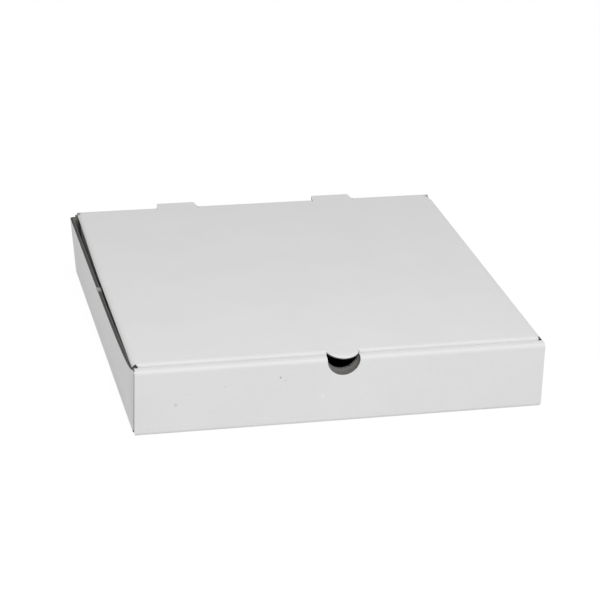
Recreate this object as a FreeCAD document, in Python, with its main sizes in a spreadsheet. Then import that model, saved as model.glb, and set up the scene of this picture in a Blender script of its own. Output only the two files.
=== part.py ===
import FreeCAD, Part

import math
import os

import Sketcher
from FreeCAD import Vector

# A closed square pizza box folded from one die-cut blank of corrugated board.
# Millimetres. The origin is the centre of the floor's underside, the front is at -Y and +Z is up.
# The lid hangs on a crease at the rear wall's top, and its three flaps tuck inside the walls.

document = FreeCAD.newDocument("pizza_box")
sheet = document.addObject("Spreadsheet::Sheet", "Sizes")


class Size:
    """A number, kept together with the expression that a property is bound to."""

    def __init__(self, text, value):
        self.text = text
        self.value = value

    def __add__(self, other):
        return joined(self, "+", other, self.value + number(other))

    def __sub__(self, other):
        return joined(self, "-", other, self.value - number(other))

    def __mul__(self, other):
        return joined(self, "*", other, self.value * number(other))

    def __truediv__(self, other):
        return joined(self, "/", other, self.value / number(other))

    def __neg__(self):
        return Size("(0 - %s)" % self.text, -self.value)


def number(item):
    return item.value if isinstance(item, Size) else float(item)


def joined(left, sign, right, value):
    right_text = right.text if isinstance(right, Size) else repr(float(right))
    return Size("(%s %s %s)" % (left.text, sign, right_text), value)


def size(alias, value, note):
    """Writes one driving dimension to the sheet and gives it back for use in formulas."""
    row = len(sheet.getNonEmptyCells()) // 3 + 1
    sheet.set("A%d" % row, alias)
    sheet.set("B%d" % row, str(value))
    sheet.set("C%d" % row, note)
    sheet.setAlias("B%d" % row, alias)
    return Size("Sizes." + alias, float(value))


# Driving dimensions of the box
box_width = size("box_width", 305.0, "outside, left to right")
box_depth = size("box_depth", 311.0, "outside, front to rear")
wall_height = size("wall_height", 51.0, "from the table to the rolled front wall's top")
side_wall_drop = size("side_wall_drop", 1.2, "side walls' raw top edges, below the front wall's top")
board = size("board", 2.5, "thickness of the corrugated board")
fold_radius = size("fold_radius", 0.8, "inside radius of every fold")
ply_gap = size("ply_gap", 0.5, "air between two layers of board")

# Driving dimensions of the front and rear panels
roll_width = size("roll_width", 8.5, "flat top of the rolled front wall, front to rear")
panel_inset = size("panel_inset", 0.5, "ends of the front and rear panels, in from the sides")
roll_relief = size("roll_relief", 1.5, "ends of the rolled ply, clear of the side walls")
foot_cut = size("foot_cut", 3.0, "cut corner at each foot of the front and rear panels")
notch_radius = size("notch_radius", 12.2, "thumb notch in the front wall")

# Driving dimensions of the corner flaps and lock tabs
corner_flap_length = size("corner_flap_length", 62.0, "from the side wall's outer face")
corner_flap_round = size("corner_flap_round", 10.0, "rounding of each corner flap's free end")
fold_leg = size("fold_leg", 1.0, "straight board kept on both sides of a corner fold")
lock_tab_place = size("lock_tab_place", 76.0, "centre of each lock tab, from the middle")
lock_tab_width = size("lock_tab_width", 36.0, "lock tab on the rolled ply's lower edge")
lock_tab_round = size("lock_tab_round", 1.5, "rounding of a lock tab's corners")
lock_tab_rise = size("lock_tab_rise", 0.3, "lock tab's lower edge above the table")
slot_gap = size("slot_gap", 0.5, "air round a lock tab in its slot")

# Driving dimensions of the lid
lid_rise = size("lid_rise", 2.2, "lid's top above the rolled front wall's top")
lid_gap = size("lid_gap", 0.5, "air between the lid and each side wall")
hinge_gap = size("hinge_gap", 0.3, "air between the rear wall's top and the lid")
front_flap_height = size("front_flap_height", 38.0, "lid's top to the front flap's lower edge")
front_flap_lean = size("front_flap_lean", 3.5, "front flap's lower edge, sprung rearwards")
front_flap_taper = size("front_flap_taper", 8.0, "slant of each end of the front flap")
side_flap_height = size("side_flap_height", 30.0, "lid's top to a side flap's lower edge")
side_flap_front_slant = size("side_flap_front_slant", 10.0, "slant of a side flap's front end")
side_flap_rear_slant = size("side_flap_rear_slant", 14.0, "slant of a side flap's rear end")
side_flap_rear_room = size("side_flap_rear_room", 8.0, "side flap's rear end to the corner flap")
flap_round = size("flap_round", 4.0, "rounding of the lid flaps' lower corners")
tongue_gap = size("tongue_gap", 0.4, "thumb tongue's edge, inside the notch")
hinge_tab_place = size("hinge_tab_place", 66.6, "centre of each hinge tab, from the middle")
hinge_tab_width = size("hinge_tab_width", 34.2, "hinge tab at its root")
hinge_tab_reach = size("hinge_tab_reach", 8.2, "hinge tab's tip, behind the rear wall")
hinge_tab_taper = size("hinge_tab_taper", 1.5, "narrowing of each side of a hinge tab")
window_gap = size("window_gap", 0.4, "air round a hinge tab that is swung into its window")
document.recompute()

# Places that follow from the sizes
half_width = box_width / 2
front = -box_depth / 2
rear = box_depth / 2
fold_outside = fold_radius + board
roll_rear = front + roll_width
flap_plane = rear - board - ply_gap
side_wall_end = flap_plane - fold_outside
panel_end = half_width - panel_inset
side_wall_top = wall_height - side_wall_drop
lid_top = wall_height + lid_rise
lid_under = lid_top - board
hinge_y = rear - board / 2
hinge_z = lid_top - board / 2
lid_side = half_width - board - lid_gap
lid_bend = lid_side - fold_outside
lid_front = roll_rear + ply_gap
lid_bend_rear = lid_front + fold_outside
tongue_radius = notch_radius - tongue_gap


def pin(sketch, shape, point, x, y):
    """Holds one point of a sketch at x and y from the sketch's origin."""
    for kind, place in (("DistanceX", x), ("DistanceY", y)):
        index = sketch.addConstraint(Sketcher.Constraint(kind, -1, 1, shape, point, place.value))
        sketch.setExpression("Constraints[%d]" % index, place.text)


def set_radius(sketch, shape, radius):
    index = sketch.addConstraint(Sketcher.Constraint("Radius", shape, radius.value))
    sketch.setExpression("Constraints[%d]" % index, radius.text)


def turn_points(points, index, radius):
    """Where a rounded corner's arc starts and ends, its centre, and whether it turns left."""
    corner = points[index]
    arriving = (corner - points[index - 1]).normalize()
    leaving = (points[(index + 1) % len(points)] - corner).normalize()
    cross = arriving.x * leaving.y - arriving.y * leaving.x
    turn = math.atan2(abs(cross), arriving.dot(leaving))
    reach = radius * math.tan(turn / 2)
    side = 1 if cross > 0 else -1
    start = corner - arriving * reach
    end = corner + leaving * reach
    centre = start + Vector(-arriving.y, arriving.x, 0) * radius * side
    return start, end, centre, cross > 0


def draw_outline(sketch, corners):
    """Draws a closed outline through corners of x, y and rounding, where None is a sharp corner."""
    points = [Vector(x.value, y.value, 0) for x, y, rounding in corners]
    turns = {}
    for index, (x, y, rounding) in enumerate(corners):
        if rounding is not None:
            turns[index] = turn_points(points, index, rounding.value)
    lines = []
    for index, point in enumerate(points):
        following = (index + 1) % len(points)
        start = turns[index][1] if index in turns else point
        end = turns[following][0] if following in turns else points[following]
        lines.append(sketch.addGeometry(Part.LineSegment(start, end), False))
    for index, (x, y, rounding) in enumerate(corners):
        before, after = lines[index - 1], lines[index]
        if rounding is None:
            sketch.addConstraint(Sketcher.Constraint("Coincident", before, 2, after, 1))
            pin(sketch, after, 1, x, y)
        else:
            draw_turn(sketch, turns[index], before, after, x, y, rounding)


def draw_turn(sketch, turn, before, after, x, y, rounding):
    """Rounds one corner with an arc, held by a construction point where the sharp corner would be."""
    start, end, centre, left = turn
    first, last = (start, end) if left else (end, start)
    angles = [math.atan2(point.y - centre.y, point.x - centre.x) for point in (first, last)]
    circle = Part.Circle(centre, Vector(0, 0, 1), rounding.value)
    arc = sketch.addGeometry(Part.ArcOfCircle(circle, angles[0], angles[1]), False)
    corner = sketch.addGeometry(Part.Point(Vector(x.value, y.value, 0)), True)
    arrive_end, leave_end = (1, 2) if left else (2, 1)
    sketch.addConstraint(Sketcher.Constraint("Tangent", before, 2, arc, arrive_end))
    sketch.addConstraint(Sketcher.Constraint("Tangent", after, 1, arc, leave_end))
    set_radius(sketch, arc, rounding)
    sketch.addConstraint(Sketcher.Constraint("PointOnObject", corner, 1, before))
    sketch.addConstraint(Sketcher.Constraint("PointOnObject", corner, 1, after))
    pin(sketch, corner, 1, x, y)


def draw_disc(sketch, x, y, radius):
    circle = Part.Circle(Vector(x.value, y.value, 0), Vector(0, 0, 1), radius.value)
    disc = sketch.addGeometry(circle, False)
    pin(sketch, disc, 3, x, y)
    set_radius(sketch, disc, radius)


def draw_tongue(sketch, radius, centre_y, root_y):
    """Draws a half-round end towards -Y, with straight sides back to its root."""
    middle = Vector(0, centre_y.value, 0)
    right = Vector(radius.value, centre_y.value, 0)
    left = Vector(-radius.value, centre_y.value, 0)
    root_right = Vector(radius.value, root_y.value, 0)
    root_left = Vector(-radius.value, root_y.value, 0)
    circle = Part.Circle(middle, Vector(0, 0, 1), radius.value)
    arc = sketch.addGeometry(Part.ArcOfCircle(circle, math.pi, math.pi * 2), False)
    right_side = sketch.addGeometry(Part.LineSegment(right, root_right), False)
    root = sketch.addGeometry(Part.LineSegment(root_right, root_left), False)
    left_side = sketch.addGeometry(Part.LineSegment(root_left, left), False)
    sketch.addConstraint(Sketcher.Constraint("Tangent", arc, 2, right_side, 1))
    sketch.addConstraint(Sketcher.Constraint("Tangent", left_side, 2, arc, 1))
    sketch.addConstraint(Sketcher.Constraint("Coincident", right_side, 2, root, 1))
    sketch.addConstraint(Sketcher.Constraint("Coincident", root, 2, left_side, 1))
    set_radius(sketch, arc, radius)
    pin(sketch, arc, 3, centre_y * 0, centre_y)
    pin(sketch, root, 1, radius, root_y)
    pin(sketch, root, 2, -radius, root_y)


def extrude(body, kind, name, plane_role, low, high, outlines=(), discs=(), tongues=()):
    """Adds a Pad or a Pocket of the drawn areas, from low to high along the plane's own axis."""
    plane = [item for item in body.Origin.OriginFeatures if item.Role == plane_role][0]
    sketch = body.newObject("Sketcher::SketchObject", name + "_sketch")
    sketch.AttachmentSupport = [(plane, "")]
    sketch.MapMode = "FlatFace"
    middle = (low + high) / 2
    if plane_role == "XZ_Plane":
        middle = -middle  # this plane's normal points to -Y
    sketch.setExpression("AttachmentOffset.Base.z", middle.text)
    for corners in outlines:
        draw_outline(sketch, corners)
    for x, y, radius in discs:
        draw_disc(sketch, x, y, radius)
    for radius, centre_y, root_y in tongues:
        draw_tongue(sketch, radius, centre_y, root_y)
    feature = body.newObject("PartDesign::" + kind, name)
    feature.Profile = (sketch, [""])
    feature.SideType = "Symmetric"
    feature.setExpression("Length", (high - low).text)
    return feature


def box_corners(left, right, low, high):
    return [(left, low, None), (right, low, None), (right, high, None), (left, high, None)]


def both_sides(corners):
    """The same outline on the right and, mirrored, on the left."""
    return [corners, [(-x, y, rounding) for x, y, rounding in corners]]


def new_body(name):
    body = document.addObject("PartDesign::Body", name)
    body.Label = name
    return body


# Tray: the floor with its front and rear panels is one long section, bent at every fold

tray = new_body("tray")


def add_long_section():
    wall_top = lid_under - hinge_gap
    ply_front = roll_rear - board
    extrude(tray, "Pad", "floor_and_rolled_front", "YZ_Plane", -panel_end, panel_end, [[
        (rear, wall_top, None),
        (rear, rear * 0, fold_outside),
        (front, rear * 0, fold_outside),
        (front, wall_height, fold_outside),
        (roll_rear, wall_height, fold_outside),
        (roll_rear, board + ply_gap, None),
        (ply_front, board + ply_gap, None),
        (ply_front, wall_height - board, fold_radius),
        (front + board, wall_height - board, fold_radius),
        (front + board, board, fold_radius),
        (rear - board, board, fold_radius),
        (rear - board, wall_top, None),
    ]])


def cut_panel_ends():
    """Clears the rolled ply from the side walls, the floor from their folds, and the feet's corners."""
    relief = half_width - board - roll_relief
    extrude(tray, "Pocket", "roll_relief", "XZ_Plane", front + board, roll_rear + board,
            both_sides(box_corners(relief, half_width, board + ply_gap / 2, wall_height + board)))
    extrude(tray, "Pocket", "floor_trim", "XY_Plane", -board, fold_outside,
            both_sides(box_corners(half_width - fold_outside, half_width, -side_wall_end, side_wall_end)))
    foot = [
        (panel_end - foot_cut, half_width * 0, None),
        (panel_end - foot_cut, -board, None),
        (half_width, -board, None),
        (half_width, foot_cut, None),
        (panel_end, foot_cut, None),
    ]
    extrude(tray, "Pocket", "front_foot_cuts", "XZ_Plane", front - board, front + fold_outside,
            both_sides(foot))
    extrude(tray, "Pocket", "rear_foot_cuts", "XZ_Plane", rear - fold_outside, rear + board,
            both_sides(foot))


def add_side_walls():
    level = half_width * 0
    extrude(tray, "Pad", "side_walls", "XZ_Plane", -side_wall_end, side_wall_end, [[
        (-half_width, side_wall_top, None),
        (-half_width, level, fold_outside),
        (half_width, level, fold_outside),
        (half_width, side_wall_top, None),
        (half_width - board, side_wall_top, None),
        (half_width - board, board, fold_radius),
        (board - half_width, board, fold_radius),
        (board - half_width, side_wall_top, None),
    ]])


def add_corner_flaps():
    """Folds a flap inwards at both ends of each side wall: behind the rear wall, and into the roll."""
    flap_root = half_width - fold_outside
    flap_end = half_width - corner_flap_length
    flap_foot = fold_outside
    rear_top = lid_top - fold_outside - ply_gap
    front_top = wall_height - board - ply_gap
    inner_plane = flap_plane - board
    for name, turn_top, flap_top, sign in (("rear", rear_top, rear_top, 1),
                                           ("front", side_wall_top, front_top, -1)):
        corner_fold = [
            (half_width, (side_wall_end - fold_leg) * sign, None),
            (half_width, flap_plane * sign, fold_outside),
            (flap_root - fold_leg, flap_plane * sign, None),
            (flap_root - fold_leg, inner_plane * sign, None),
            (half_width - board, inner_plane * sign, fold_radius),
            (half_width - board, (side_wall_end - fold_leg) * sign, None),
        ]
        flap = [
            (flap_root, flap_foot, None),
            (flap_root, flap_top, None),
            (flap_end, flap_top, corner_flap_round),
            (flap_end, flap_foot, corner_flap_round),
        ]
        low, high = (inner_plane, flap_plane) if sign > 0 else (-flap_plane, -inner_plane)
        extrude(tray, "Pad", name + "_corner_folds", "XY_Plane", flap_foot, turn_top,
                both_sides(corner_fold))
        extrude(tray, "Pad", name + "_corner_flaps", "XZ_Plane", low, high, both_sides(flap))


def add_lock_tabs():
    """Drops two tabs of the rolled ply into slots of the floor."""
    tab_left = lock_tab_place - lock_tab_width / 2
    tab_right = lock_tab_place + lock_tab_width / 2
    ply_front = roll_rear - board
    extrude(tray, "Pocket", "lock_slots", "XY_Plane", -board, board + ply_gap,
            both_sides(box_corners(tab_left - slot_gap, tab_right + slot_gap,
                                   ply_front - slot_gap, roll_rear + slot_gap)))
    tab = [
        (tab_left, board * 2 + ply_gap, None),
        (tab_left, lock_tab_rise, lock_tab_round),
        (tab_right, lock_tab_rise, lock_tab_round),
        (tab_right, board * 2 + ply_gap, None),
    ]
    extrude(tray, "Pad", "lock_tabs", "XZ_Plane", ply_front, roll_rear, both_sides(tab))


def cut_thumb_notch():
    middle = half_width * 0
    extrude(tray, "Pocket", "thumb_notch", "XZ_Plane", front - board, roll_rear + board,
            discs=[(middle, wall_height, notch_radius)])


def cut_hinge_windows():
    """Leaves in the rear wall the two windows that the hinge tabs were cut from."""
    depth = hinge_tab_reach + board / 2 + window_gap
    root = hinge_tab_width / 2 + window_gap
    tip = root - hinge_tab_taper
    window = [
        (hinge_tab_place - tip, hinge_z - depth, None),
        (hinge_tab_place + tip, hinge_z - depth, None),
        (hinge_tab_place + root, hinge_z, None),
        (hinge_tab_place - root, hinge_z, None),
    ]
    extrude(tray, "Pocket", "hinge_windows", "XZ_Plane", rear - board * 2, rear + board,
            both_sides(window))


add_long_section()
cut_panel_ends()
add_side_walls()
add_corner_flaps()
add_lock_tabs()
cut_thumb_notch()
cut_hinge_windows()

# Lid: a panel with a flap on three sides, the thumb tongue in front and the hinge tabs behind

lid = new_body("lid")


def add_side_flaps():
    low = lid_top - side_flap_height
    extrude(lid, "Pad", "panel_and_side_flaps", "XZ_Plane", lid_bend_rear, flap_plane, [[
        (-lid_side, low, None),
        (-lid_side, lid_top, fold_outside),
        (lid_side, lid_top, fold_outside),
        (lid_side, low, None),
        (lid_side - board, low, None),
        (lid_side - board, lid_under, fold_radius),
        (board - lid_side, lid_under, fold_radius),
        (board - lid_side, low, None),
    ]])


def slant_side_flaps():
    """Cuts the slanted ends of the side flaps, clear of the front flap and the rear corner flaps."""
    low = lid_top - side_flap_height
    bend_low = lid_top - fold_outside
    front_end = lid_front + board + front_flap_lean + ply_gap
    rear_end = flap_plane - board - side_flap_rear_room
    flat = flap_round * 3
    front_foot = front_end + side_flap_front_slant
    rear_foot = rear_end - side_flap_rear_slant
    front_waste = [
        (lid_front, bend_low, None),
        (front_end, bend_low, None),
        (front_foot, low, flap_round),
        (front_foot + flat, low, None),
        (front_foot + flat, low - board, None),
        (lid_front, low - board, None),
    ]
    rear_waste = [
        (rear, bend_low, None),
        (rear_end, bend_low, None),
        (rear_foot, low, flap_round),
        (rear_foot - flat, low, None),
        (rear_foot - flat, low - board, None),
        (rear, low - board, None),
    ]
    extrude(lid, "Pocket", "side_flap_ends", "YZ_Plane", -half_width, half_width,
            [front_waste, rear_waste])


def add_front_flap():
    """Bends the front flap down and back, and rounds the hinge crease about the hinge axis."""
    low = lid_top - front_flap_height
    crease_round = board * 0.48  # a little under half, so that the edge keeps a short flat
    under_lean = front_flap_lean * (board / front_flap_height)
    crease = hinge_y + board / 2
    extrude(lid, "Pad", "panel_and_front_flap", "YZ_Plane", -lid_bend, lid_bend, [[
        (crease, lid_top, crease_round),
        (lid_front, lid_top, fold_outside),
        (lid_front + front_flap_lean, low, None),
        (lid_front + front_flap_lean + board, low, None),
        (lid_front + under_lean + board, lid_under, fold_radius),
        (crease, lid_under, crease_round),
    ]])


def cut_front_flap():
    """Slants the front flap's ends and cuts the hole that the thumb tongue leaves in it."""
    low = lid_top - front_flap_height
    bend_low = lid_top - fold_outside
    flap_back = lid_front + board + front_flap_lean + ply_gap / 2
    foot = lid_bend - front_flap_taper
    flat = flap_round * 3
    waste = [
        (lid_bend + ply_gap, bend_low, None),
        (lid_bend, bend_low, None),
        (foot, low, flap_round),
        (foot - flat, low, None),
        (foot - flat, low - board, None),
        (lid_bend + ply_gap, low - board, None),
    ]
    extrude(lid, "Pocket", "front_flap_ends", "XZ_Plane", lid_front - board, flap_back,
            both_sides(waste))
    extrude(lid, "Pocket", "tongue_hole", "XZ_Plane", lid_front - board, flap_back,
            discs=[(half_width * 0, lid_top, tongue_radius)])


def add_thumb_tongue():
    """Carries the lid's panel straight on past the front bend, as the tongue over the notch."""
    root = lid_bend_rear + board + front_flap_lean
    extrude(lid, "Pad", "thumb_tongue", "XY_Plane", lid_under, lid_top,
            tongues=[(tongue_radius, lid_bend_rear, root)])


def add_hinge_tabs():
    root = hinge_tab_width / 2
    tip = root - hinge_tab_taper
    tab = [
        (hinge_tab_place - root, hinge_y, None),
        (hinge_tab_place + root, hinge_y, None),
        (hinge_tab_place + tip, rear + hinge_tab_reach, None),
        (hinge_tab_place - tip, rear + hinge_tab_reach, None),
    ]
    extrude(lid, "Pad", "hinge_tabs", "XY_Plane", lid_under, lid_top, both_sides(tab))


add_side_flaps()
slant_side_flaps()
add_front_flap()
cut_front_flap()
add_thumb_tongue()
add_hinge_tabs()


# Build, test and write

document.recompute()
for item in document.Objects:
    if "Invalid" in item.State or "Error" in item.State:
        raise RuntimeError("%s failed: %s" % (item.Name, item.State))
os.makedirs("parts", exist_ok=True)
for body in (tray, lid):
    shape = body.Shape
    if shape.isNull() or not shape.isValid():
        raise RuntimeError("%s has no valid shape" % body.Label)
    print("%s: %d solid, %.1f cm3, box %s" % (
        body.Label, len(shape.Solids), shape.Volume / 1000, shape.BoundBox))
    shape.exportStep("parts/%s.step" % body.Label)
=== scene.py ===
import math

import bmesh
import bpy
import numpy as np
from mathutils import Matrix, Vector


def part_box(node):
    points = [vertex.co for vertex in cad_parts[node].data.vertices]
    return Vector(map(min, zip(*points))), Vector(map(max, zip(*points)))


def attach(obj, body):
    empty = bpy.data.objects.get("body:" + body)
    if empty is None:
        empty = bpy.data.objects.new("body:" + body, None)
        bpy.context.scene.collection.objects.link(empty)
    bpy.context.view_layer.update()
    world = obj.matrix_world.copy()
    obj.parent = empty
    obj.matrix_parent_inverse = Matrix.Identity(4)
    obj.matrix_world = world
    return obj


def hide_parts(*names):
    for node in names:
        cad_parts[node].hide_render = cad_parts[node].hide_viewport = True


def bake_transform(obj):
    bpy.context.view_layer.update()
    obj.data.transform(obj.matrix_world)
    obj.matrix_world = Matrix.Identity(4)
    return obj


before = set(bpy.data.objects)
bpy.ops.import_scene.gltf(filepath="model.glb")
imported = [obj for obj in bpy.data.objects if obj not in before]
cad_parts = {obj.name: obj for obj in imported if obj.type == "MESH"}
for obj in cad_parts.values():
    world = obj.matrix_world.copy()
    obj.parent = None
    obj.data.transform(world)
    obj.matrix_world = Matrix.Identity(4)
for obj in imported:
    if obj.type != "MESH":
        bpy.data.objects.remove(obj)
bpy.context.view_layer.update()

mm = 0.001
print("frame loaded")

# The box is one die-cut blank of corrugated board, u across it along the flutes and v lengthways:
# from the rolled front wall over the floor and the rear wall to the lid and its front flap.
# The blank lies with its white side down, at n = 0, until it is folded.
board = {
    "thickness": 2.5 * mm,
    "liner": 0.3 * mm,           # each of the two flat papers
    "mediumPaper": 0.22 * mm,    # the waved paper between them
    "mediumGap": 0.01 * mm,      # glue line between a crest and its liner
    "flutePitch": 5.0 * mm,
    "fluteSteps": 8,             # straight pieces in one wave
    "insideRadius": 0.4 * mm,    # of every fold
    "plyGap": 0.5 * mm,
    "kerf": 0.3 * mm,            # width of a cut between two panels
    "foldSteps": 6,              # straight pieces in one fold
    "foldMargin": 0.5 * mm,      # support line beside each fold
    "roundSteps": 8,             # straight pieces in one rounded corner
    "stepAcross": 45.0 * mm,     # between support lines on the panels, along the flutes
    "stepAlong": 10.0 * mm,      # and across them
    "smoothAngle": 40.0,
    "sheetSpare": 10.0 * mm,     # the waved sheet is this much wider than the blank before its trim
}

trayLow, trayHigh = [Vector(corner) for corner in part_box("tray")]
lidLow, lidHigh = [Vector(corner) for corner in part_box("lid")]
thickness = board["thickness"]
foldOutside = board["insideRadius"] + thickness
foldRun = (board["insideRadius"] + thickness / 2) * math.pi / 2  # length of a fold's middle
tiny = 0.001 * mm
foldSlack = 0.1 * mm  # a point this near to a fold's end counts as past it


# Outlines

def arcPoints(middle, radius, start, turn, steps):
    angles = [start + turn * step / steps for step in range(steps + 1)]
    return [middle + radius * Vector((math.cos(angle), math.sin(angle))) for angle in angles]


def withoutRepeats(points):
    return [point for index, point in enumerate(points) if (point - points[index - 1]).length > tiny]


def rounded(corners):  # a third number in a corner is its radius
    points = []
    for index, corner in enumerate(corners):
        here = Vector(corner[:2])
        if len(corner) == 2:
            points.append(here)
            continue
        before = (Vector(corners[index - 1][:2]) - here).normalized()
        after = (Vector(corners[(index + 1) % len(corners)][:2]) - here).normalized()
        half = before.angle(after) / 2
        middle = here + (before + after).normalized() * (corner[2] / math.sin(half))
        first = here + before * (corner[2] / math.tan(half)) - middle
        last = here + after * (corner[2] / math.tan(half)) - middle
        start = math.atan2(first.y, first.x)
        turn = (math.atan2(last.y, last.x) - start + math.pi) % (2 * math.pi) - math.pi
        points += arcPoints(middle, corner[2], start, turn, board["roundSteps"])
    return withoutRepeats(points)


def mirrored(points):
    return [Vector((-point.x, point.y)) for point in reversed(points)]


def bothSides(corners):
    return [rounded(corners), mirrored(rounded(corners))]


def whole(half):  # closes the right half of an outline with the mirrored left half
    return withoutRepeats(rounded(half(1)) + mirrored(rounded(half(0))))


def rectangle(low, high):
    return [(low[0], low[1]), (high[0], low[1]), (high[0], high[1]), (low[0], high[1])]


# Node trees

def node(tree, kind, settings=None, links=None, values=None):
    made = tree.nodes.new(kind)
    for name, value in (settings or {}).items():
        setattr(made, name, value)
    for name, source in (links or {}).items():
        tree.links.new(source, made.inputs[name])
    for name, value in (values or {}).items():
        made.inputs[name].default_value = value
    return made


def newTree(kind, name, inputs, outputs):
    tree = bpy.data.node_groups.new(name, kind)
    for label, socket in inputs:
        tree.interface.new_socket(label, in_out="INPUT", socket_type="NodeSocket" + socket)
    for label, socket in outputs:
        tree.interface.new_socket(label, in_out="OUTPUT", socket_type="NodeSocket" + socket)
    return tree, node(tree, "NodeGroupInput").outputs, node(tree, "NodeGroupOutput").inputs


def feed(tree, socket, value):  # value is another socket, a number or a colour
    if isinstance(value, bpy.types.NodeSocket):
        tree.links.new(value, socket)
    else:
        socket.default_value = value


def maths(tree, operation, first, second):
    made = node(tree, "ShaderNodeMath", {"operation": operation})
    for index, value in enumerate((first, second)):
        feed(tree, made.inputs[index], value)
    return made.outputs[0]


def built(tree, values):  # the mesh that a tree of geometry nodes makes from these input values
    holder = linked(bpy.data.meshes.new("holder"))
    modifier = holder.modifiers.new("nodes", "NODES")
    modifier.node_group = tree
    for item in tree.interface.items_tree:
        if item.in_out == "INPUT" and item.name in values:
            modifier[item.identifier] = values[item.name]
    graph = bpy.context.evaluated_depsgraph_get()
    mesh = bpy.data.meshes.new_from_object(holder.evaluated_get(graph), depsgraph=graph)
    holder.modifiers.remove(modifier)
    bpy.data.objects.remove(holder)
    return mesh


# Flat layers

def closedSlab(outlines, low, high):
    slab = bmesh.new()
    for outline in outlines:
        corners = [slab.verts.new((point.x, point.y, low)) for point in outline]
        for corner, following in zip(corners, corners[1:] + corners[:1]):
            slab.edges.new((corner, following))
    bmesh.ops.triangle_fill(slab, edges=slab.edges[:], use_beauty=True)
    raised = bmesh.ops.extrude_face_region(slab, geom=slab.faces[:])["geom"]
    corners = [item for item in raised if isinstance(item, bmesh.types.BMVert)]
    bmesh.ops.translate(slab, verts=corners, vec=(0, 0, high - low))
    bmesh.ops.recalc_face_normals(slab, faces=slab.faces[:])
    return slab


def linked(mesh):
    piece = bpy.data.objects.new(mesh.name, mesh)
    bpy.context.scene.collection.objects.link(piece)
    return piece


def fluteTree():
    inputs = [("Geometry", "Geometry"), ("Slab", "Object"), ("Sheet Width", "Float"),
              ("First Crest", "Float"), ("Step", "Float"), ("Points", "Int"), ("Pitch", "Float"),
              ("Swing", "Float"), ("Paper", "Float"), ("Middle", "Float"), ("Material", "Material")]
    tree, given, made = newTree("GeometryNodeTree", "flutedMedium", inputs, [("Geometry", "Geometry")])
    start = node(tree, "ShaderNodeCombineXYZ", links={"Y": given["First Crest"], "Z": given["Middle"]})
    stride = node(tree, "ShaderNodeCombineXYZ", links={"Y": given["Step"]})
    line = node(tree, "GeometryNodeMeshLine", {"mode": "OFFSET"},
                {"Count": given["Points"], "Start Location": start.outputs[0],
                 "Offset": stride.outputs[0]})
    position = node(tree, "GeometryNodeInputPosition").outputs[0]
    along = node(tree, "ShaderNodeSeparateXYZ", links={"Vector": position}).outputs["Y"]
    turns = maths(tree, "MULTIPLY", maths(tree, "DIVIDE", along, given["Pitch"]), 2 * math.pi)
    rise = maths(tree, "MULTIPLY", maths(tree, "SINE", turns, 0), given["Swing"])
    lift = node(tree, "ShaderNodeCombineXYZ", links={"Z": rise})
    waved = node(tree, "GeometryNodeSetPosition", links={"Geometry": line.outputs[0],
                                                         "Offset": lift.outputs[0]})
    path = node(tree, "GeometryNodeMeshToCurve", links={"Mesh": waved.outputs[0]})
    upright = node(tree, "GeometryNodeSetCurveNormal", {"mode": "Z_UP"}, {"Curve": path.outputs[0]})
    section = node(tree, "GeometryNodeCurvePrimitiveQuadrilateral", {"mode": "RECTANGLE"},
                   {"Width": given["Sheet Width"], "Height": given["Paper"]})
    sheet = node(tree, "GeometryNodeCurveToMesh", None,
                 {"Curve": upright.outputs[0], "Profile Curve": section.outputs[0]},
                 {"Fill Caps": True})
    slab = node(tree, "GeometryNodeObjectInfo", links={"Object": given["Slab"]})
    trimmed = node(tree, "GeometryNodeMeshBoolean", {"operation": "INTERSECT", "solver": "MANIFOLD"})
    for source in (sheet.outputs[0], slab.outputs["Geometry"]):
        tree.links.new(source, trimmed.inputs["Mesh 2"])
    real = node(tree, "GeometryNodeRealizeInstances", links={"Geometry": trimmed.outputs["Mesh"]})
    painted = node(tree, "GeometryNodeSetMaterial", links={"Geometry": real.outputs[0],
                                                           "Material": given["Material"]})
    tree.links.new(painted.outputs[0], made["Geometry"])
    return tree


def flutedMedium(outlines, tree, material):
    inner = bpy.data.meshes.new("mediumSlab")
    slabMesh = closedSlab(outlines, board["liner"], thickness - board["liner"])
    slabMesh.to_mesh(inner)
    slabMesh.free()
    slab = linked(inner)
    width = max(abs(point.x) for outline in outlines for point in outline)
    low = min(point.y for outline in outlines for point in outline)
    high = max(point.y for outline in outlines for point in outline)
    step = board["flutePitch"] / board["fluteSteps"]
    first = (math.floor(low / board["flutePitch"]) - 1) * board["flutePitch"]
    swing = (thickness - board["mediumPaper"]) / 2 - board["liner"] - board["mediumGap"]
    mesh = built(tree, {
        "Slab": slab, "Sheet Width": 2 * width + board["sheetSpare"], "First Crest": first, "Step": step,
        "Points": math.ceil((high - first) / step) + board["fluteSteps"],
        "Pitch": board["flutePitch"], "Swing": swing, "Paper": board["mediumPaper"],
        "Middle": thickness / 2, "Material": material})
    bpy.data.objects.remove(slab)
    return mesh


# Folding

def makeFold(axis, start, way, chosen, angle=90.0, passed=False, inside=board["insideRadius"]):
    return {"axis": axis, "start": start, "way": way, "chosen": chosen, "angle": math.radians(angle),
            "passed": passed, "outside": inside + thickness,
            "run": (inside + thickness / 2) * math.pi / 2}


def foldLines(folds):  # places (axis, place) where the flat board gets its support lines
    margin = board["foldMargin"] / foldRun
    shares = [step / board["foldSteps"] for step in range(board["foldSteps"] + 1)] + [-margin, 1 + margin]
    return [(fold["axis"], fold["start"] + fold["way"] * fold["run"] * share)
            for fold in folds if not fold["passed"] for share in shares]


def panelLines(low, high, axis):
    count = math.ceil((high - low) / board[("stepAcross", "stepAlong")[axis]])
    return [(axis, low + (high - low) * step / count) for step in range(1, count)]


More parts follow.
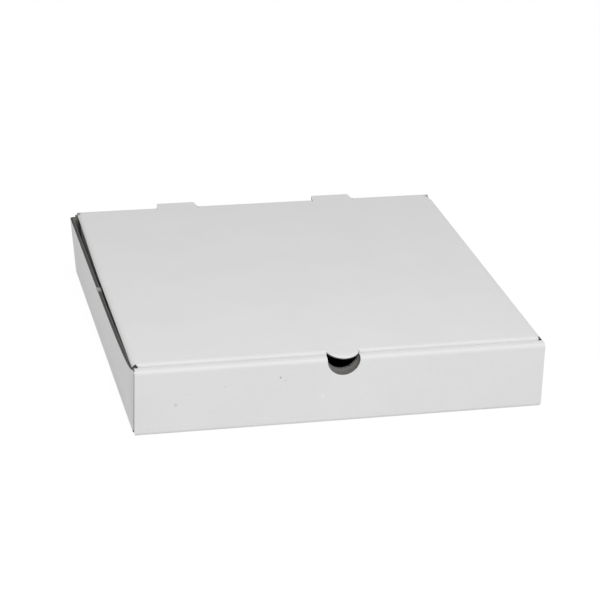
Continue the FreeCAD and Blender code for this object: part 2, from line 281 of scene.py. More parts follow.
def cutAlong(sheet, lines):
    for axis, place in lines:
        point, normal = [0, 0, 0], [0, 0, 0]
        point[axis], normal[axis] = place, 1
        geometry = sheet.verts[:] + sheet.edges[:] + sheet.faces[:]
        bmesh.ops.bisect_plane(sheet, geom=geometry, dist=tiny / 10, plane_co=point,
                               plane_no=normal)


def folded(flat, folds):
    points = flat.copy()
    crease = np.zeros(len(flat))
    for fold in folds:
        axis, way, run, outside = fold["axis"], fold["way"], fold["run"], fold["outside"]
        chosen = fold["chosen"](flat)
        distance = (flat[:, axis] - fold["start"]) * way
        along = (points[:, axis] - fold["start"]) * way
        share = np.ones(len(flat)) if fold["passed"] else np.clip(distance / run, 0, 1)
        beyond = along - run
        rest = beyond if fold["passed"] else np.where(
            distance <= 0, along, np.where(distance < run, 0, beyond))
        turn = fold["angle"] * share
        height = outside - points[:, 2]
        newAlong = rest * np.cos(turn) + height * np.sin(turn)
        newHeight = outside - height * np.cos(turn) + rest * np.sin(turn)
        points[:, axis] = np.where(chosen, fold["start"] + way * newAlong, points[:, axis])
        points[:, 2] = np.where(chosen, newHeight, points[:, 2])
        if not fold["passed"]:
            off = np.maximum(np.maximum(-distance, distance - run), 0)
            near = np.clip(1 - off / board["foldMargin"], 0, 1)
            crease = np.maximum(crease, np.where(chosen, near, 0))
    return points, crease


def foldedBoard(name, outlines, folds, warp, materials, tree, extraLines=()):
    sheet = bmesh.new()
    flatMesh = bpy.data.meshes.new("layer")
    for low, high in ((0, board["liner"]), (thickness - board["liner"], thickness)):
        layer = closedSlab(outlines, low, high)
        layer.to_mesh(flatMesh)
        layer.free()
        sheet.from_mesh(flatMesh)
    bpy.data.meshes.remove(flatMesh)
    for face in sheet.faces:
        outer = all(corner.co.z < tiny for corner in face.verts)
        face.material_index = 0 if outer else 1
    lines = foldLines(folds) + list(extraLines)
    points = [point for outline in outlines for point in outline]
    for axis in (0, 1):
        places = [point[axis] for point in points]
        lines += panelLines(min(places), max(places), axis)
    cutAlong(sheet, lines)

    medium = bmesh.new()
    waved = flutedMedium(outlines, tree, materials[2])
    medium.from_mesh(waved)
    cutAlong(medium, [line for line in lines if line[0] == 0])  # along v the waves have points enough
    for face in medium.faces:
        face.material_index = 2
    medium.to_mesh(waved)
    medium.free()
    sheet.from_mesh(waved)
    bpy.data.meshes.remove(waved)

    mesh = bpy.data.meshes.new(name)
    sheet.to_mesh(mesh)
    sheet.free()
    for material in materials:
        mesh.materials.append(material)
    flat = np.empty(len(mesh.vertices) * 3)
    mesh.vertices.foreach_get("co", flat)
    flat = flat.reshape(-1, 3)
    placed, crease = folded(flat, folds)
    placed = warp(placed, flat)
    corner = np.empty(len(mesh.loops), dtype=np.int64)
    mesh.loops.foreach_get("vertex_index", corner)
    blankMap = mesh.uv_layers.new(name="blank")
    blankMap.data.foreach_set("uv", flat[corner, :2].ravel())
    mesh.attributes.new("crease", "FLOAT", "POINT").data.foreach_set("value", crease)
    mesh.vertices.foreach_set("co", placed.ravel())
    mesh.shade_smooth()
    mesh.set_sharp_from_angle(angle=math.radians(board["smoothAngle"]))
    mesh.update()
    print(name, "folded, faces", len(mesh.polygons))
    return linked(mesh)


# Paper

paper = {
    "white": (0.80, 0.80, 0.80),
    "raw": (0.285, 0.275, 0.262),
    "medium": (0.19, 0.182, 0.172),
    "torn": (0.46, 0.45, 0.44),
    "whiteRough": (0.46, 0.62),
    "rawRough": (0.80, 0.95),
    "whiteGrain": 900.0,         # fibre clumps in a metre
    "rawGrain": 1400.0,
    "whiteContrast": 0.07,
    "rawContrast": 0.45,
    "mediumContrast": 0.5,
    "cloud": 22.0,               # cloudy patches in a metre
    "washboard": 0.012 * mm,     # the flutes show through the liner this deep
    "fibreHeight": 0.02 * mm,
    "fibreDraw": (0.25, 1.0, 1.0),  # fibres lie mostly along the flutes
    "fibreRange": (0.6, 1.4),    # of the summed noises, spread over the roughness range
    "crackGrain": 2600.0,
    "crackContrast": 0.10,
    "speckGrain": 1500.0,
    "speckRagged": 0.6,
    "speckCore": 0.35,           # share of a speck's radius at full strength
    "specks": [                  # x and height on the front wall, radius, strength, dark or light
        ((-122.3, 22.8), 1.5, 0.30, 0.25), ((-46.5, 38.6), 1.1, 0.50, 0.15),
        ((-86.7, 34.5), 1.3, 0.14, 0.25), ((-42.6, 36.0), 0.8, 0.22, 0.15),
        ((-14.7, 21.6), 1.8, 0.45, 0.95)],
}


def paperFibre():
    inputs = [("Vector", "Vector"), ("Grain", "Float"), ("Cloud", "Float"), ("Contrast", "Float")]
    tree, given, made = newTree("ShaderNodeTree", "paperFibre", inputs,
                                [("Shade", "Float"), ("Height", "Float")])
    clumps = node(tree, "ShaderNodeTexNoise", None, {"Vector": given["Vector"], "Scale": given["Grain"]},
                  {"Detail": 3.0, "Roughness": 0.6})
    drawn = node(tree, "ShaderNodeVectorMath", {"operation": "MULTIPLY"}, {0: given["Vector"]},
                 {1: paper["fibreDraw"]})
    strands = node(tree, "ShaderNodeTexNoise", None, {"Vector": drawn.outputs[0],
                                                      "Scale": given["Grain"]},
                   {"Detail": 2.0, "Roughness": 0.7, "Distortion": 0.6})
    clouds = node(tree, "ShaderNodeTexNoise", None, {"Vector": given["Vector"], "Scale": given["Cloud"]},
                  {"Detail": 4.0, "Roughness": 0.55})
    fibres = maths(tree, "ADD", clumps.outputs["Fac"], strands.outputs["Fac"])
    everything = maths(tree, "ADD", maths(tree, "MULTIPLY", fibres, 0.5), clouds.outputs["Fac"])
    swing = maths(tree, "MULTIPLY", maths(tree, "SUBTRACT", everything, 1.0), given["Contrast"])
    tree.links.new(maths(tree, "ADD", swing, 1.0), made["Shade"])
    tree.links.new(fibres, made["Height"])
    return tree


def speckMask():
    inputs = [("Vector", "Vector"), ("Place", "Vector"), ("Radius", "Float"), ("Ragged", "Float")]
    tree, given, made = newTree("ShaderNodeTree", "speck", inputs, [("Mask", "Float")])
    away = node(tree, "ShaderNodeVectorMath", {"operation": "DISTANCE"},
                {0: given["Vector"], 1: given["Place"]}).outputs["Value"]
    noise = node(tree, "ShaderNodeTexNoise", None, {"Vector": given["Vector"]},
                 {"Scale": paper["speckGrain"]})
    rough = maths(tree, "MULTIPLY", maths(tree, "SUBTRACT", noise.outputs["Fac"], 0.5), given["Ragged"])
    share = maths(tree, "ADD", maths(tree, "DIVIDE", away, given["Radius"]), rough)
    mask = node(tree, "ShaderNodeMapRange", {"interpolation_type": "SMOOTHSTEP"}, {"Value": share},
                {"From Min": paper["speckCore"], "From Max": 1.0, "To Min": 1.0, "To Max": 0.0})
    tree.links.new(mask.outputs["Result"], made["Mask"])
    return tree


def grouped(tree, group, links, values):
    return node(tree, "ShaderNodeGroup", {"node_tree": group}, links, values).outputs


def mixed(tree, kind, share, first, second):
    made = node(tree, "ShaderNodeMix", {"data_type": "RGBA", "blend_type": kind})
    for index, value in ((0, share), (6, first), (7, second)):  # its factor and its two colours
        feed(tree, made.inputs[index], value)
    return made.outputs[2]


def fibrePaper(name, colour, rough, grain, contrast):
    material = bpy.data.materials.new(name)
    material.use_nodes = True
    tree = material.node_tree
    shader = tree.nodes["Principled BSDF"]
    place = node(tree, "ShaderNodeTexCoord").outputs["Object"]
    fibre = grouped(tree, fibreGroup, {"Vector": place},
                    {"Grain": grain, "Cloud": paper["cloud"], "Contrast": contrast})
    tint = node(tree, "ShaderNodeCombineColor", None, {channel: fibre["Shade"]
                                                       for channel in ("Red", "Green", "Blue")})
    base = mixed(tree, "MULTIPLY", 1.0, (*colour, 1), tint.outputs[0])
    roughness = node(tree, "ShaderNodeMapRange", None, {"Value": fibre["Height"]},
                     {"From Min": paper["fibreRange"][0], "From Max": paper["fibreRange"][1],
                      "To Min": rough[0], "To Max": rough[1]})
    tree.links.new(roughness.outputs[0], shader.inputs["Roughness"])
    bump = node(tree, "ShaderNodeBump", None, {"Height": fibre["Height"]},
                {"Distance": paper["fibreHeight"], "Strength": 1.0})
    tree.links.new(bump.outputs[0], shader.inputs["Normal"])
    tree.links.new(base, shader.inputs["Base Color"])
    return material, tree, shader, base, bump


def blankPlace(tree):
    return node(tree, "ShaderNodeUVMap", {"uv_map": "blank"}).outputs[0]


def whitePaperMaterial():
    material, tree, shader, base, bump = fibrePaper(
        "whitePaper", paper["white"], paper["whiteRough"], paper["whiteGrain"], paper["whiteContrast"])
    blank = blankPlace(tree)
    along = node(tree, "ShaderNodeSeparateXYZ", links={"Vector": blank}).outputs["Y"]
    wave = maths(tree, "SINE", maths(tree, "MULTIPLY", along, 2 * math.pi / board["flutePitch"]), 0)
    ripples = node(tree, "ShaderNodeBump", None, {"Height": wave},
                   {"Distance": paper["washboard"], "Strength": 1.0})
    tree.links.new(ripples.outputs[0], bump.inputs["Normal"])
    crease = node(tree, "ShaderNodeAttribute", {"attribute_name": "crease"}).outputs["Fac"]
    cracks = node(tree, "ShaderNodeTexNoise", None, {"Vector": blank},
                  {"Scale": paper["crackGrain"], "Detail": 2.0})
    worn = maths(tree, "MULTIPLY", maths(tree, "SUBTRACT", cracks.outputs["Fac"], 0.5),
                 paper["crackContrast"])
    base = mixed(tree, "ADD", maths(tree, "MULTIPLY", crease, worn), base, (1, 1, 1, 1))
    for spot, radius, strength, level in paper["specks"]:
        mask = grouped(tree, speckGroup, {"Vector": blank},
                       {"Place": (spot[0] * mm, frontWallV(spot[1] * mm), 0), "Radius": radius * mm,
                        "Ragged": paper["speckRagged"]})["Mask"]
        base = mixed(tree, "MIX", maths(tree, "MULTIPLY", mask, strength), base,
                     (level, level, level, 1))
    tree.links.new(base, shader.inputs["Base Color"])
    return material


fibreGroup = paperFibre()
speckGroup = speckMask()
rawPaper = fibrePaper("rawPaper", paper["raw"], paper["rawRough"], paper["rawGrain"],
                      paper["rawContrast"])[0]
mediumPaper = fibrePaper("mediumPaper", paper["medium"], paper["rawRough"], paper["rawGrain"],
                         paper["mediumContrast"])[0]
tornPaper = fibrePaper("tornPaper", paper["torn"], paper["rawRough"], paper["rawGrain"],
                       paper["rawContrast"])[0]


# Places in the folded box

wallTop, lidTop = trayHigh.z, lidHigh.z
halfWidth, lidSide = trayHigh.x, lidHigh.x
frontFace, rearFace = trayLow.y, trayHigh.y

tray = {
    "rollWidth": 8.5 * mm,
    "panelInset": 0.5 * mm,      # front and rear panels end this much short of the side walls' faces
    "rollTopInset": (1.0 * mm, 0.5 * mm),  # left and right
    "rollRelief": 1.5 * mm,
    "reliefShare": (0.0, 0.6),   # how far round the second bend the relief starts
    "rollShare": 0.6,            # how far round the first bend the roll is full width
    "leftWallEnd": 0.5,          # how far round its front bend the left wall is full height
    "cornerFlap": 62.0 * mm,
    "cornerFlapRound": 10.0 * mm,
    "lockTabPlace": 76.0 * mm,
    "lockTabWidth": 36.0 * mm,
    "lockTabRound": 1.5 * mm,
    "lockTabRise": 0.3 * mm,
    "slotGap": 0.5 * mm,
    "notchRadius": 12.2 * mm,
    "notchDrop": (1.5 * mm, -0.6 * mm),  # middles of both plies' half rounds, below the wall's top
    "rearTopGap": 0.3 * mm,
    "sideWallDrop": 1.2 * mm,    # side walls' raw tops, below the rolled front wall's top
    "leftLean": 4.7 * mm,        # the lid presses the top of the left wall this far out
    "leanSettle": 36.0 * mm,     # away from the front corner it takes about this much length
    "leanPower": 0.47,
    "leanPlaces": (0.7, 2.0, 4.0, 7.0),  # support lines behind the front corner, in mm
}
lid = {
    "frontFlapLean": 3.5 * mm,
    "frontFlapTaper": 8.0 * mm,
    "sideFlap": 30.0 * mm,
    "sideFlapFrontSlant": 10.0 * mm,
    "sideFlapRearSlant": 14.0 * mm,
    "sideFlapFrontRoom": 3.2 * mm,
    "sideFlapRearRoom": 10.2 * mm,
    "flapRound": 4.0 * mm,
    "sideInside": 2.2 * mm,      # inside radius of the side bends
    "frontReach": (-0.05 * mm, 1.4 * mm),  # the front bend's ends, beyond the side bends' starts
    "wingEnd": (1.8 * mm, -0.3 * mm),     # the side bends' front ends, beyond the front bend's start
    "tongueGap": 0.4 * mm,
    "tongueStart": 1.3 * mm,     # the cut starts this far down the front bend
    "tongueShift": 1.2 * mm,     # to the right
    "tongueDepth": 10.5 * mm,
    "tongueDip": 20.0,           # slope of the tongue's tip
    "tongueStep": 1.2 * mm,      # between support lines along the tongue
    "tongueShares": (0.3, 0.55, 0.75, 0.88, 1.0),  # and their places across it, of its radius
    "rimWidth": 0.2,             # of the half oval, crushed by the cutting die
    "rimThickness": 0.9 * mm,
    "rimMiddle": 1.3 * mm,       # below the tongue's top face
    "flapNotch": 16.0 * mm,      # depth of the front flap's cut-out
    "frontDrop": 1.0 * mm,       # the closed lid lies this much lower at the front
    "overhang": 3.5 * mm,        # the side bends bulge out over the walls' raw tops
    "overhangStart": 100.0 * mm,
    "overhangLow": 3.3 * mm,     # below the lid's top, where the bulge ends
    "overhangHigh": 2.2 * mm,    # and where it is full
    "overhangRear": 0.5,         # share of it left at the hinge
    "rearSettle": (140.0 * mm, 11.0 * mm),  # length of that change, left and right
}
hinge = {
    "tabPlace": 66.6 * mm,
    "tabWidth": 34.2 * mm,
    "tabTaper": 1.5 * mm,
    "windowGap": 0.4 * mm,
    "creaseInset": 0.2 * mm,
    "creaseReach": 1.9 * mm,     # flat board that the crease keeps at both sides of its fold
}

floorRear = rearFace - foldOutside
flapPlane = rearFace - thickness - board["plyGap"]
sideWallEnd = flapPlane - foldOutside
hingeY = rearFace - thickness / 2
hingeZ = lidTop - thickness / 2
lidFront = frontFace + tray["rollWidth"] + board["plyGap"]
sideTop = wallTop - tray["sideWallDrop"]

# Places of the folds and edges on the blank
frontFold = frontFace + foldOutside
topFold = frontFold - foldRun - (wallTop - 2 * foldOutside)
plyFold = topFold - foldRun - (tray["rollWidth"] - 2 * foldOutside)
plyEnd = plyFold - foldRun - (wallTop - foldOutside - thickness - board["plyGap"])
rearFold = floorRear
creaseFold = rearFold + foldRun + (lidTop - 2 * foldOutside)
creaseEnd = creaseFold + foldRun
lidFold = creaseEnd + floorRear - (lidFront + foldOutside)
lidFlapEnd = lidFold + foldRun + (lidTop - lidLow.z - foldOutside)
sideFold = halfWidth - foldOutside
lidSideFold = lidSide - lid["sideInside"] - thickness
creaseEdge = lidSide - hinge["creaseInset"]
lidRearEdge = creaseEdge - lid["overhang"] * lid["overhangRear"]
rearWallTop = creaseFold - hinge["creaseReach"]
lidRear = creaseEnd + hinge["creaseReach"]


def frontWallV(z):  # blank place of a height on the front wall
    return frontFold - foldRun - (z - foldOutside)


def rearWallV(z):
    return rearFold + foldRun + z - foldOutside


def lidV(y):  # blank place of a depth on the closed lid
    return creaseEnd + floorRear - y


def wallU(z):  # blank place of a height on a side wall
    return sideFold + foldRun + z - foldOutside


papers = [whitePaperMaterial(), rawPaper, mediumPaper]
print("papers made")

# Tray: floor, walls, corner flaps and the rolled front wall with its lock tabs

tabLow = tray["lockTabPlace"] - tray["lockTabWidth"] / 2
tabHigh = tabLow + tray["lockTabWidth"]


def inWing(flat):
    across, along = abs(flat[:, 0]), abs(flat[:, 1])
    return (across > sideFold) & ((along < sideWallEnd + tiny) | (across > sideFold + foldRun - foldSlack))


def inFlap(flat):
    return abs(flat[:, 0]) > sideFold + foldRun - foldSlack


def inPanel(flat):
    return ~inWing(flat)


def everywhere(flat):
    return np.ones(len(flat), dtype=bool)


def trayHalf(side):  # 0 left, 1 right
    kerf = board["kerf"]
    place = hinge["tabPlace"]
    windowRoot = hinge["tabWidth"] / 2 + hinge["windowGap"]
    windowTip = windowRoot - hinge["tabTaper"]
    windowFoot = rearWallV(hingeZ - (lidHigh.y - hingeY) - hinge["windowGap"])
    earTop = rearWallV(lidTop - thickness - tray["rearTopGap"])
    panelEnd = halfWidth - tray["panelInset"]
    foldEnd = sideFold + foldRun
    flapEnd = sideWallEnd + foldRun + tray["cornerFlap"] - foldOutside
    rearFlapTop = wallU(lidTop - foldOutside - board["plyGap"])
    frontFlapTop = wallU(wallTop - thickness - board["plyGap"])
    flapRound = tray["cornerFlapRound"]
    wallFront = (sideWallEnd + tray["leftWallEnd"] * foldRun, -(lidFront - kerf))[side]
    rollTop = halfWidth - tray["rollTopInset"][side]
    rollEnd = halfWidth - thickness - tray["rollRelief"]
    rollStart = topFold - tray["rollShare"] * foldRun
    reliefStart = plyFold - tray["reliefShare"][side] * foldRun
    tabEnd = plyEnd - (thickness + board["plyGap"] - tray["lockTabRise"])
    return [
        (0, rearWallTop), (place - windowRoot, rearWallTop), (place - windowTip, windowFoot),
        (place + windowTip, windowFoot), (place + windowRoot, rearWallTop),
        (creaseEdge + kerf, rearWallTop), (creaseEdge + kerf, earTop), (panelEnd, earTop),
        (panelEnd, rearFold + foldRun), (sideFold, sideWallEnd + kerf), (sideFold, sideWallEnd),
        (foldEnd, sideWallEnd), (foldEnd, flapEnd, flapRound), (rearFlapTop, flapEnd, flapRound),
        (rearFlapTop, sideWallEnd), (wallU(sideTop), sideWallEnd),
        (wallU(sideTop), -wallFront), (frontFlapTop, -wallFront),
        (frontFlapTop, -flapEnd, flapRound), (foldEnd, -flapEnd, flapRound),
        (foldEnd, -sideWallEnd), (sideFold, -sideWallEnd), (sideFold, -sideWallEnd - kerf),
        (panelEnd, frontFold - foldRun), (panelEnd, rollStart), (rollTop, rollStart - tiny),
        (rollTop, reliefStart), (rollEnd, reliefStart), (rollEnd, plyEnd), (tabHigh, plyEnd),
        (tabHigh, tabEnd, tray["lockTabRound"]), (tabLow, tabEnd, tray["lockTabRound"]),
        (tabLow, plyEnd), (0, plyEnd)]


def trayOutlines():
    slotGap = tray["slotGap"]
    slots = bothSides(rectangle(
        (tabLow - slotGap, frontFace + tray["rollWidth"] - thickness - slotGap),
        (tabHigh + slotGap, frontFace + tray["rollWidth"] + slotGap)))
    near = topFold - foldOutside + tray["notchDrop"][0]
    far = plyFold - foldRun + foldOutside - tray["notchDrop"][1]
    steps = 3 * board["roundSteps"]
    notch = withoutRepeats(
        arcPoints(Vector((0, near)), tray["notchRadius"], 0, math.pi, steps)
        + arcPoints(Vector((0, far)), tray["notchRadius"], math.pi, math.pi, steps))
    return [whole(trayHalf), notch] + slots


def leanLeftWall(points, flat):
    height = np.clip((points[:, 2] - foldOutside) / (sideTop - foldOutside), 0, None)
    behind = np.clip(points[:, 1] + sideWallEnd, 0, None)
    depth = 1 - np.exp(-(behind / tray["leanSettle"]) ** tray["leanPower"])
    chosen = inWing(flat) & (flat[:, 0] < 0)
    points[:, 0] -= np.where(chosen, tray["leftLean"] * height * depth, 0)
    return points


fluteNodes = fluteTree()
trayFolds = [
    makeFold(1, sideWallEnd, 1, inFlap), makeFold(1, -sideWallEnd, -1, inFlap),
    makeFold(0, sideFold, 1, inWing), makeFold(0, -sideFold, -1, inWing),
    makeFold(1, plyFold, -1, inPanel), makeFold(1, topFold, -1, inPanel),
    makeFold(1, frontFold, -1, inPanel), makeFold(1, rearFold, 1, inPanel)]
leanLines = [(1, -sideWallEnd + place * mm) for place in tray["leanPlaces"]]
trayBoard = foldedBoard("trayBoard", trayOutlines(), trayFolds, leanLeftWall, papers, fluteNodes,
                        leanLines)
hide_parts("tray")
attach(trayBoard, "tray")


# Torn fibres of the liner over the left wall's raw top edge

nick = {
    "count": 26,
    "place": (-155.3 * mm, -3.0 * mm),
    "length": 6.5 * mm,          # of the torn place, along the wall
    "lift": 0.15 * mm,
    "fibre": (3.2 * mm, 0.38 * mm, 0.10 * mm),
    "scatter": (0.5 * mm, 0.2 * mm, 0.25 * mm),
    "turn": (0.12, 0.25, 0.5),   # largest turns of a fibre, in radians
    "seed": 7,
}


def tuftTree():
    inputs = [("Geometry", "Geometry"), ("Count", "Int"), ("Start", "Vector"), ("Step", "Vector"),
              ("Fibre", "Vector"), ("Scatter", "Vector"), ("Turn", "Vector"), ("Seed", "Int"),
              ("Material", "Material")]
    tree, given, made = newTree("GeometryNodeTree", "fibreTuft", inputs, [("Geometry", "Geometry")])
    line = node(tree, "GeometryNodeMeshLine", {"mode": "OFFSET"},
                {"Count": given["Count"], "Start Location": given["Start"], "Offset": given["Step"]})

    def chance(limit, shift):  # a random vector between minus and plus the limit
        seed = maths(tree, "ADD", given["Seed"], shift)
        unit = node(tree, "FunctionNodeRandomValue", {"data_type": "FLOAT_VECTOR"}, {"Seed": seed},
                    {0: (-1, -1, -1), 1: (1, 1, 1)})
        return node(tree, "ShaderNodeVectorMath", {"operation": "MULTIPLY"},
                    {0: unit.outputs[0], 1: limit}).outputs[0]

    spread = node(tree, "GeometryNodeSetPosition", links={
        "Geometry": line.outputs[0], "Offset": chance(given["Scatter"], 0)})
    fibre = node(tree, "GeometryNodeMeshCube", links={"Size": given["Fibre"]})
    laid = node(tree, "GeometryNodeInstanceOnPoints", links={
        "Points": spread.outputs[0], "Instance": fibre.outputs["Mesh"],
        "Rotation": chance(given["Turn"], 1)})
    real = node(tree, "GeometryNodeRealizeInstances", links={"Geometry": laid.outputs[0]})
    painted = node(tree, "GeometryNodeSetMaterial", links={"Geometry": real.outputs[0],
                                                           "Material": given["Material"]})
    tree.links.new(painted.outputs[0], made["Geometry"])
    return tree


tuft = built(tuftTree(), {
    "Count": nick["count"], "Seed": nick["seed"], "Fibre": nick["fibre"], "Scatter": nick["scatter"],
    "Start": (nick["place"][0], nick["place"][1] - nick["length"] / 2, sideTop + nick["lift"]),
    "Step": (0, nick["length"] / nick["count"], 0), "Turn": nick["turn"], "Material": tornPaper})
tuft.name = "nickTuft"
nickTuft = linked(tuft)
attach(nickTuft, "tray")
print("torn fibres laid")


# Lid: top panel, front and side tuck flaps, thumb tongue and hinge tabs

def tongueReach(flat):  # 1 on the half oval's rim
    across = (flat[:, 0] - lid["tongueShift"]) / tongueRadius
    return np.hypot(across, (flat[:, 1] - tongueFoot) / lid["tongueDepth"])


def outsideTongue(flat):
    before = flat[:, 1] < tongueFoot
    across = abs(flat[:, 0] - lid["tongueShift"]) > tongueRadius + board["kerf"] / 2
    return np.where(before, across, tongueReach(flat) > 1 + board["kerf"] / 2 / tongueRadius)


def inLidWing(flat):
    end = lidFold + np.where(flat[:, 0] < 0, *lid["wingEnd"]) + tiny
    along = (flat[:, 1] > lidV(flapPlane) - tiny) & (flat[:, 1] < end)
    return (abs(flat[:, 0]) > lidSideFold) & along


def inLidFront(flat):
    return outsideTongue(flat) & ~inLidWing(flat)


def lidHalf(side):  # 0 left, 1 right
    kerf = board["kerf"]
    place = hinge["tabPlace"]
    tabRoot = hinge["tabWidth"] / 2
    tabTip = tabRoot - hinge["tabTaper"]
    tabFoot = lidV(hingeY)
    tabEnd = lidV(lidHigh.y)
    rearEnd = lidV(flapPlane)
    sideOutside = lid["sideInside"] + thickness
    foldEnd = lidSideFold + (lid["sideInside"] + thickness / 2) * math.pi / 2
    flapEnd = foldEnd + lid["sideFlap"] - sideOutside
    frontEdge = lidSideFold + lid["frontReach"][side]
    wingEnd = lidFold + lid["wingEnd"][side]
    flapRear = lidV(floorRear - lid["sideFlapRearRoom"])
    flapFront = lidFold - lid["sideFlapFrontRoom"]
    return [
        (0, lidRear), (place - tabRoot, lidRear), (place - tabRoot, tabFoot),
        (place - tabTip, tabEnd), (place + tabTip, tabEnd), (place + tabRoot, tabFoot),
        (place + tabRoot, lidRear), (lidRearEdge, lidRear), (lidRearEdge, rearEnd - kerf),
        (lidSideFold, rearEnd - kerf), (lidSideFold, rearEnd), (foldEnd, rearEnd), (foldEnd, flapRear),
        (flapEnd, flapRear + lid["sideFlapRearSlant"], lid["flapRound"]),
        (flapEnd, flapFront - lid["sideFlapFrontSlant"], lid["flapRound"]), (foldEnd, flapFront),
        (foldEnd, wingEnd), (lidSideFold, wingEnd), (lidSideFold, lidFold),
        (frontEdge, lidFold), (frontEdge, lidFold + foldRun),
        (frontEdge - lid["frontFlapTaper"], lidFlapEnd, lid["flapRound"]), (0, lidFlapEnd)]


def lidOutlines():
    outside = tongueRadius + board["kerf"]
    foot = Vector((lid["tongueShift"], tongueFoot))
    turns = [math.pi * step / (4 * board["roundSteps"]) for step in range(4 * board["roundSteps"] + 1)]
    slit = [foot + Vector((outside * math.cos(turn), lid["flapNotch"] * math.sin(turn)))
            for turn in turns]
    slit += [foot + Vector((-tongueRadius * math.cos(turn), lid["tongueDepth"] * math.sin(turn)))
             for turn in turns]
    return [whole(lidHalf), slit]


def eased(values, low, high):
    share = np.clip((values - low) / (high - low), 0, 1)
    return share * share * (3 - 2 * share)


def pressed(points, flat):  # shapes the tongue and the side bends and lowers the closed lid's front
    along = np.clip(flat[:, 1] - lidFold, 0, None)
    rim = eased(tongueReach(flat), 1 - lid["rimWidth"], 1) * (flat[:, 1] > tongueFoot)
    crushed = lid["rimMiddle"] + (flat[:, 2] / thickness - 0.5) * lid["rimThickness"]
    depth = flat[:, 2] + (crushed - flat[:, 2]) * rim
    # A bend whose slope grows with the square of the way along, to the first terms of its series
    slope = math.radians(lid["tongueDip"]) * (along / (lid["tongueStart"] + lid["tongueDepth"])) ** 2
    forward = along * (1 - slope ** 2 / 10) - depth * np.sin(slope)
    down = along * slope / 3 + depth * np.cos(slope)
    tongue = (along > 0) & ~outsideTongue(flat)
    points[:, 1] = np.where(tongue, lidFront + foldOutside - forward, points[:, 1])
    points[:, 2] = np.where(tongue, lidTop - down, points[:, 2])
    height = eased(points[:, 2], lidTop - lid["overhangLow"], lidTop - lid["overhangHigh"])
    across = np.clip((abs(points[:, 0]) - lid["overhangStart"])
                     / (lidSideFold - lid["overhangStart"]), 0, 1)
    settle = np.where(points[:, 0] < 0, *lid["rearSettle"])
    rear = eased(points[:, 1], flapPlane - settle, flapPlane)
    bulge = lid["overhang"] * (1 - (1 - lid["overhangRear"]) * rear)
    points[:, 0] += np.sign(points[:, 0]) * bulge * height * across
    turn = math.atan(lid["frontDrop"] / (hingeY - lidFront))
    behind, above = points[:, 1] - hingeY, points[:, 2] - hingeZ
    points[:, 1] = hingeY + behind * math.cos(turn) - above * math.sin(turn)
    points[:, 2] = hingeZ + above * math.cos(turn) + behind * math.sin(turn)
    return points


tongueRadius = tray["notchRadius"] - lid["tongueGap"]
tongueFoot = lidFold + lid["tongueStart"]
tongueLines = [(1, tongueFoot + place) for place in np.arange(
    lid["tongueStep"], lid["tongueDepth"], lid["tongueStep"])]
for share in (*lid["tongueShares"], 1 + board["kerf"] / tongueRadius):
    tongueLines += [(0, lid["tongueShift"] + side * share * tongueRadius) for side in (-1, 1)]
frontFlapHeight = lidTop - lidLow.z
frontFlapAngle = 90 + math.degrees(math.atan(lid["frontFlapLean"] / frontFlapHeight))
lidFolds = [
    makeFold(0, lidSideFold, 1, inLidWing, inside=lid["sideInside"]),
    makeFold(0, -lidSideFold, -1, inLidWing, inside=lid["sideInside"]),
    makeFold(1, lidFold, 1, inLidFront, frontFlapAngle),
    makeFold(1, creaseFold, 1, everywhere, passed=True), makeFold(1, rearFold, 1, everywhere)]
lidBoard = foldedBoard("lidBoard", lidOutlines(), lidFolds, pressed, papers, fluteNodes, tongueLines)
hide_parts("lid")
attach(lidBoard, "lid")


# Hinge crease: the board that bends between the rear wall and the lid

def asFolded(points, flat):
    return points


def creaseOutlines():
    windowRoot = hinge["tabWidth"] / 2 + hinge["windowGap"]
    middleHalf = hinge["tabPlace"] - windowRoot
    return ([rounded(rectangle((-middleHalf, rearWallTop), (middleHalf, lidRear)))]
            + bothSides(rectangle((hinge["tabPlace"] + windowRoot, rearWallTop),
                                  (creaseEdge, lidRear))))


creaseFolds = [makeFold(1, creaseFold, 1, everywhere), makeFold(1, rearFold, 1, everywhere)]
hingeCrease = foldedBoard("hingeCrease", creaseOutlines(), creaseFolds, asFolded, papers, fluteNodes)
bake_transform(hingeCrease)


# Studio

studio = {
    "worldLevel": 0.55,
    "floorSize": 8.0,
    "floorDrop": 0.2 * mm,
    "floorColour": (0.8, 0.8, 0.8, 1),
    "floorLevel": 1.08,
    "floorGlow": 0.86,
    "keyPower": 5.6,
    "keySize": 0.8,
    "keyPlace": (0.0, -0.8, 0.93),
    "focal": 2178.0,             # in pixels of the 600 pixel picture
    "imageSize": 600,
    "sensor": 36.0,
    "cameraPlace": (-0.3708, -1.5248, 0.7037),
    "azimuth": -13.81,
    "elevation": 23.24,
    "roll": 1.96,
}


def seenDirectly(tree):  # 1 for rays from the camera or from a glossy or clear surface
    paths = node(tree, "ShaderNodeLightPath").outputs
    some = maths(tree, "MAXIMUM", paths["Is Camera Ray"], paths["Is Glossy Ray"])
    return maths(tree, "MAXIMUM", some, paths["Is Transmission Ray"])


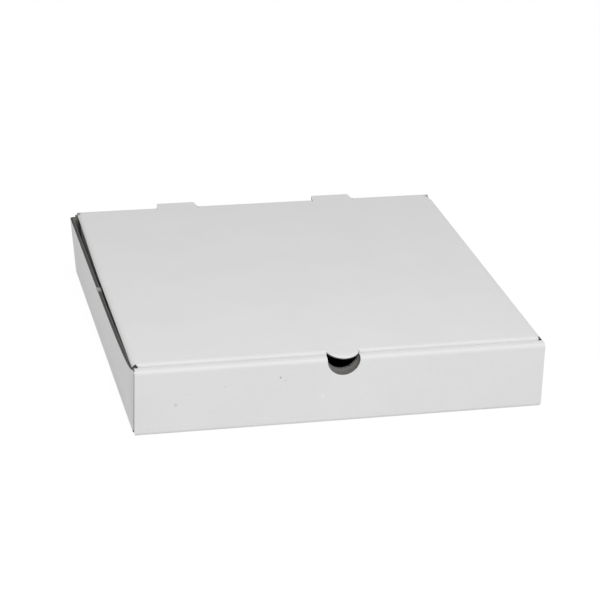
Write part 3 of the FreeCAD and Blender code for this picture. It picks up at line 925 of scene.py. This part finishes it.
def makeFloor():
    sheet = bmesh.new()
    bmesh.ops.create_grid(sheet, x_segments=1, y_segments=1, size=studio["floorSize"])
    bmesh.ops.translate(sheet, verts=sheet.verts[:], vec=(0, 0, -studio["floorDrop"]))
    mesh = bpy.data.meshes.new("floor")
    sheet.to_mesh(mesh)
    sheet.free()
    material = bpy.data.materials.new("floorWhite")
    material.use_nodes = True
    tree = material.node_tree
    tree.nodes.clear()
    diffuse = node(tree, "ShaderNodeBsdfDiffuse", values={"Color": studio["floorColour"]})
    glow = node(tree, "ShaderNodeEmission", values={"Strength": studio["floorLevel"]})
    share = maths(tree, "MULTIPLY", seenDirectly(tree), studio["floorGlow"])
    mix = node(tree, "ShaderNodeMixShader", None, {0: share, 1: diffuse.outputs[0], 2: glow.outputs[0]})
    node(tree, "ShaderNodeOutputMaterial", None, {"Surface": mix.outputs[0]})
    mesh.materials.append(material)
    floor = linked(mesh)


def makeWorld():
    world = bpy.data.worlds.new("studioWorld")
    bpy.context.scene.world = world
    world.use_nodes = True
    tree = world.node_tree
    tree.nodes.clear()
    fill = node(tree, "ShaderNodeBackground", values={"Strength": studio["worldLevel"]})
    white = node(tree, "ShaderNodeBackground", values={"Strength": 1.0})
    for background in (fill, white):
        background.inputs["Color"].default_value = (1, 1, 1, 1)
    mix = node(tree, "ShaderNodeMixShader", None,
               {0: seenDirectly(tree), 1: fill.outputs[0], 2: white.outputs[0]})
    node(tree, "ShaderNodeOutputWorld", None, {"Surface": mix.outputs[0]})


def makeLamp(name, place, size, power):
    light = bpy.data.lights.new(name, "AREA")
    light.shape = "DISK"
    light.size = size
    light.energy = power
    lamp = bpy.data.objects.new(name, light)
    lamp.location = place
    lamp.rotation_euler = Vector(place).to_track_quat("Z", "Y").to_euler()
    bpy.context.scene.collection.objects.link(lamp)


def makeCamera():
    azimuth, elevation, roll = [math.radians(studio[name]) for name in ("azimuth", "elevation", "roll")]
    back = Vector((math.sin(azimuth) * math.cos(elevation), -math.cos(azimuth) * math.cos(elevation),
                   math.sin(elevation)))
    level = Vector((math.cos(azimuth), math.sin(azimuth), 0))
    upward = back.cross(level)
    right = math.cos(roll) * level + math.sin(roll) * upward
    up = -math.sin(roll) * level + math.cos(roll) * upward
    lens = bpy.data.cameras.new("camera")
    lens.sensor_width = studio["sensor"]
    lens.lens = studio["focal"] / studio["imageSize"] * studio["sensor"]
    camera = bpy.data.objects.new("camera", lens)
    camera.matrix_world = (Matrix.Translation(Vector(studio["cameraPlace"]))
                           @ Matrix((right, up, back)).transposed().to_4x4())
    bpy.context.scene.collection.objects.link(camera)
    bpy.context.scene.camera = camera


makeFloor()
makeWorld()
makeLamp("key", studio["keyPlace"], studio["keySize"], studio["keyPower"])
makeCamera()
bpy.context.scene.view_settings.view_transform = "Standard"
print("studio set")
